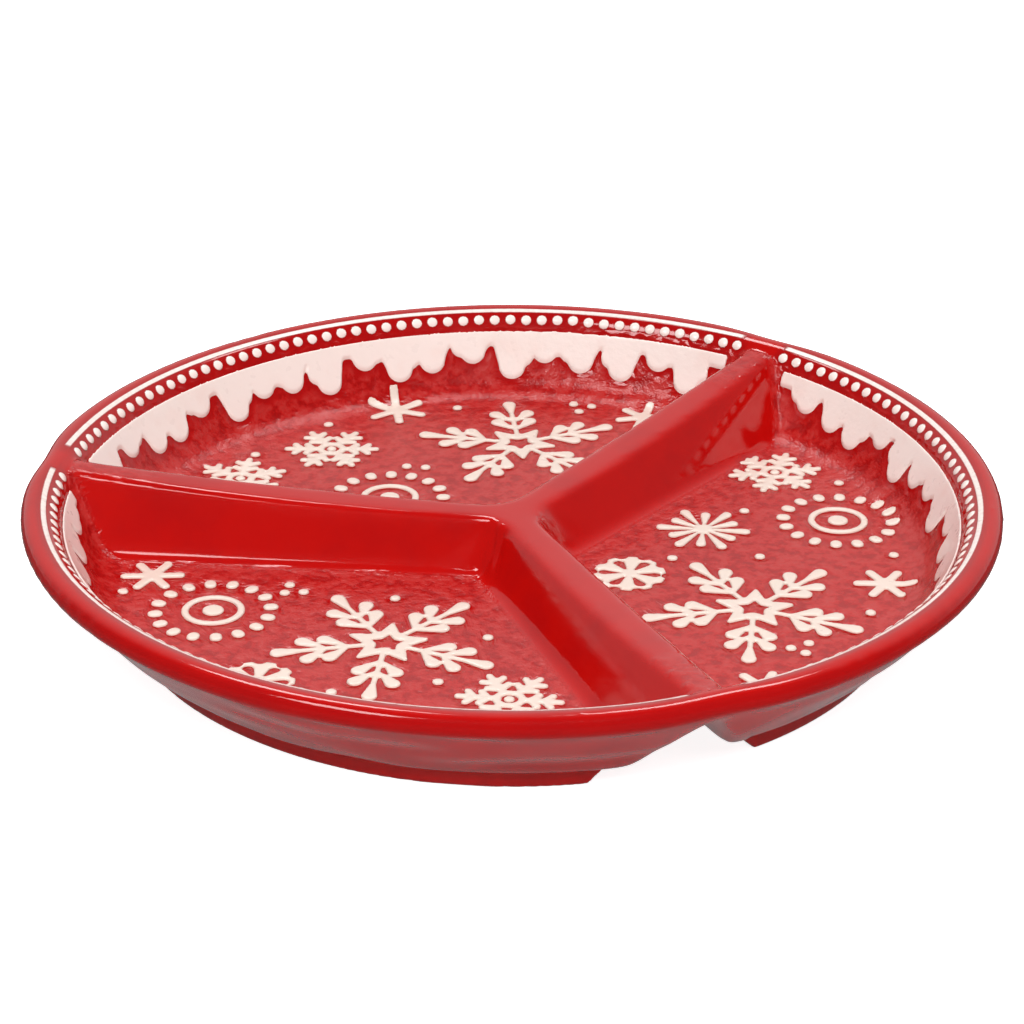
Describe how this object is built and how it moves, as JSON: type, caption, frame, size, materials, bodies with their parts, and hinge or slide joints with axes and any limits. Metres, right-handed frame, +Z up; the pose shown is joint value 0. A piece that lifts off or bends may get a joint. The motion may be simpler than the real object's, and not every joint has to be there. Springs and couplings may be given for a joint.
{
  "type": "divided serving bowl",
  "caption": "Round, shallow glazed ceramic serving dish with a rolled rim, Y-shaped hollow dividers, raised snowflake ornament and curved foot segments, for serving snacks side by side.",
  "frame": {"origin": "centre of the dish on the surface that it stands on", "axes": "+Z up along the dish's axis; the divider arms point along -X and at 60 degrees either side of +X"},
  "size_m": [0.32, 0.32, 0.0412],
  "materials": {
    "red_glaze": "glossy red glaze, darker where it pools",
    "foot_glaze": "dark red glaze with a bare lower face",
    "cream_relief": "cream glaze on raised ornament"
  },
  "bodies": {
    "root": {"rim_roll": "red_glaze", "divider_ridge": "red_glaze", "pan_back": "red_glaze", "pan_left": "red_glaze", "pan_right": "red_glaze", "foot_back": "foot_glaze", "foot_left": "foot_glaze", "foot_right": "foot_glaze", "rim_stripe_back": "cream_relief", "bead_row_back": "cream_relief", "snow_border_back": "cream_relief", "fern_flake_back": "cream_relief", "rosette_back": "cream_relief", "ring_flake_back": "cream_relief", "asterisk_back": "cream_relief", "dots_back": "cream_relief", "rim_stripe_left": "cream_relief", "bead_row_left": "cream_relief", "snow_border_left": "cream_relief", "fern_flake_left": "cream_relief", "rosette_left": "cream_relief", "ring_flake_left": "cream_relief", "asterisk_left": "cream_relief", "dots_left": "cream_relief", "rim_stripe_right": "cream_relief", "bead_row_right": "cream_relief", "snow_border_right": "cream_relief", "fern_flake_right": "cream_relief", "rosette_right": "cream_relief", "ring_flake_right": "cream_relief", "asterisk_right": "cream_relief", "dots_right": "cream_relief", "ring_flake_back_side": "cream_relief", "asterisk_back_side": "cream_relief", "lace_flake_left": "cream_relief", "asterisk_right_side": "cream_relief", "burst_right": "cream_relief", "lace_flake_right": "cream_relief"}
  },
  "joints": []
}
